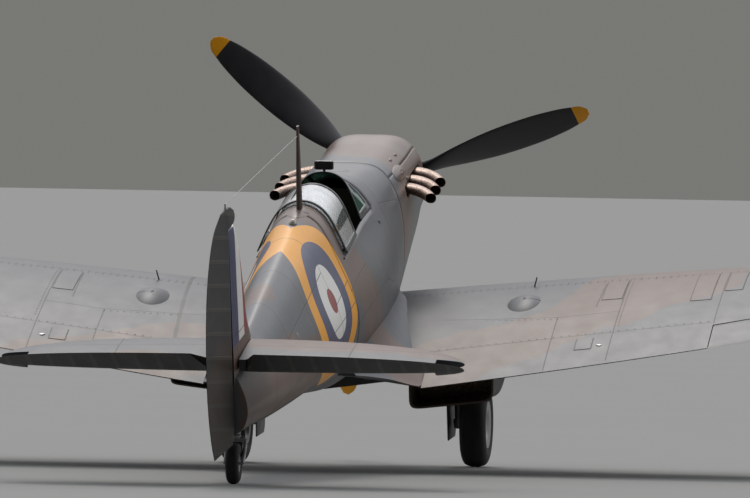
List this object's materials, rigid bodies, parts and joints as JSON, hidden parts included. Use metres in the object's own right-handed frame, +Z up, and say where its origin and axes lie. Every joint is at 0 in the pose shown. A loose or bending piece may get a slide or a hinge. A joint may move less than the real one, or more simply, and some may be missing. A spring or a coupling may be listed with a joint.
{
  "type": "single-seat propeller aircraft",
  "caption": "Single-seat low-wing aircraft with elliptical wings, tailwheel gear, sliding hood, inline engine and spinning propeller, parked with its hood open.",
  "frame": {"origin": "on the ground under the middle of the aircraft's length, on its centre line", "axes": "+X towards the starboard wingtip, +Y forward, +Z up from the ground"},
  "size_m": [11.2132, 9.0682, 3.1179],
  "materials": {
    "camouflage": "satin two-tone brown and green over metal skin",
    "black_paint": "satin black paint",
    "tyre": "worn black rubber",
    "bare_metal": "satin bare metal",
    "silver_paint": "silver paint on wheels and legs",
    "exhaust": "heat-browned steel",
    "canopy_glass": "clear acrylic and laminated glass",
    "cockpit_green": "grey-green cockpit paint",
    "leather": "padded leather",
    "underside": "pale underside paint"
  },
  "bodies": {
    "airframe": {"fuselage_centre": "camouflage", "fuselage_rear": "camouflage", "engine_block": "bare_metal", "cowling_top": "camouflage", "cowling_left": "camouflage", "cowling_right": "camouflage", "cowling_bottom": "camouflage", "air_intake": "underside", "exhaust_left": "exhaust", "exhaust_right": "exhaust", "windscreen_frame": "camouflage", "windscreen_glass": "canopy_glass", "rear_glazing_frame": "camouflage", "rear_glazing_glass": "canopy_glass", "mirror": "black_paint", "pilot_seat": "cockpit_green", "headrest": "leather", "instrument_panel": "black_paint", "control_column": "black_paint", "wing_left": "camouflage", "wing_right": "camouflage", "fillet_left": "camouflage", "fillet_right": "camouflage", "radiator_housing": "underside", "radiator_core": "bare_metal", "oil_cooler_housing": "underside", "oil_cooler_core": "bare_metal", "pitot_head": "bare_metal", "fin": "camouflage", "tailplane_left": "camouflage", "tailplane_right": "camouflage", "aerial_mast": "camouflage", "gear_leg_left": "silver_paint", "gear_leg_right": "silver_paint", "gear_door_left": "underside", "gear_door_right": "underside", "tail_strut": "silver_paint"},
    "propeller": {"spinner": "black_paint", "propeller_blade_1": "black_paint", "propeller_blade_2": "black_paint", "propeller_blade_3": "black_paint"},
    "wheel_left": {"wheel_hub_left": "silver_paint", "tyre_left": "tyre"},
    "wheel_right": {"wheel_hub_right": "silver_paint", "tyre_right": "tyre"},
    "tailwheel_fork": {"tail_fork": "silver_paint"},
    "tailwheel": {"tail_hub": "silver_paint", "tail_tyre": "tyre"},
    "hood": {"hood_frame": "camouflage", "hood_glass": "canopy_glass"},
    "door": {"cockpit_door": "camouflage"},
    "rudder": {"rudder": "camouflage"},
    "elevators": {"elevator_left": "camouflage", "elevator_right": "camouflage"},
    "aileron_left": {"aileron_left": "camouflage"},
    "aileron_right": {"aileron_right": "camouflage"},
    "flap_left": {"flap_left": "underside"},
    "flap_right": {"flap_right": "underside"}
  },
  "joints": [
    {"name": "propeller_spin", "type": "hinge", "parent": "airframe", "child": "propeller", "pos_m": [0, 4.14312, 2.06423], "axis": [0, 0.9774, 0.2113], "continuous": true},
    {"name": "wheel_spin_left", "type": "hinge", "parent": "airframe", "child": "wheel_left", "pos_m": [-0.885, 2.92173, 0.3075], "axis": [1, 0, 0], "continuous": true},
    {"name": "wheel_spin_right", "type": "hinge", "parent": "airframe", "child": "wheel_right", "pos_m": [0.885, 2.92173, 0.3075], "axis": [1, 0, 0], "continuous": true},
    {"name": "tailwheel_castor", "type": "hinge", "parent": "airframe", "child": "tailwheel_fork", "pos_m": [0, -3.25469, 0.32], "axis": [0, 0, 1], "continuous": true},
    {"name": "tailwheel_spin", "type": "hinge", "parent": "tailwheel_fork", "child": "tailwheel", "pos_m": [0, -3.35969, 0.14], "axis": [1, 0, 0], "continuous": true},
    {"name": "hood_slide", "type": "slide", "parent": "airframe", "child": "hood", "axis": [0, 0.9725, 0.2328], "range_m": [0, 0.545]},
    {"name": "door_hinge", "type": "hinge", "parent": "airframe", "child": "door", "pos_m": [-0.446, 0.79445, 1.39252], "axis": [0, -0.9774, -0.2113], "range_deg": [0, 120]},
    {"name": "rudder_hinge", "type": "hinge", "parent": "airframe", "child": "rudder", "pos_m": [0, -3.79326, 0.96246], "axis": [0, -0.2113, 0.9774], "range_deg": [-25, 31]},
    {"name": "elevator_hinge", "type": "hinge", "parent": "airframe", "child": "elevators", "pos_m": [0, -3.65748, 0.80765], "axis": [1, 0, 0], "range_deg": [-4, 47]},
    {"name": "aileron_hinge_right", "type": "hinge", "parent": "airframe", "child": "aileron_right", "pos_m": [2.805, 1.02434, 1.03897], "axis": [0.9597, 0.2219, 0.1725], "range_deg": [-22, 22]},
    {"name": "aileron_hinge_left", "type": "hinge", "parent": "airframe", "child": "aileron_left", "pos_m": [-2.805, 1.02434, 1.03897], "axis": [0.9597, -0.2219, -0.1725], "range_deg": [-22, 22]},
    {"name": "flap_hinge_right", "type": "hinge", "parent": "airframe", "child": "flap_right", "pos_m": [0.8, 0.90536, 0.67596], "axis": [0.9871, 0.0453, 0.1534], "range_deg": [0, 85]},
    {"name": "flap_hinge_left", "type": "hinge", "parent": "airframe", "child": "flap_left", "pos_m": [-0.8, 0.90536, 0.67596], "axis": [0.9871, -0.0453, -0.1534], "range_deg": [0, 85]}
  ],
  "couplings": [
    {"joint": "aileron_hinge_left", "follows": "aileron_hinge_right", "ratio": -1},
    {"joint": "flap_hinge_left", "follows": "flap_hinge_right", "ratio": 1}
  ]
}
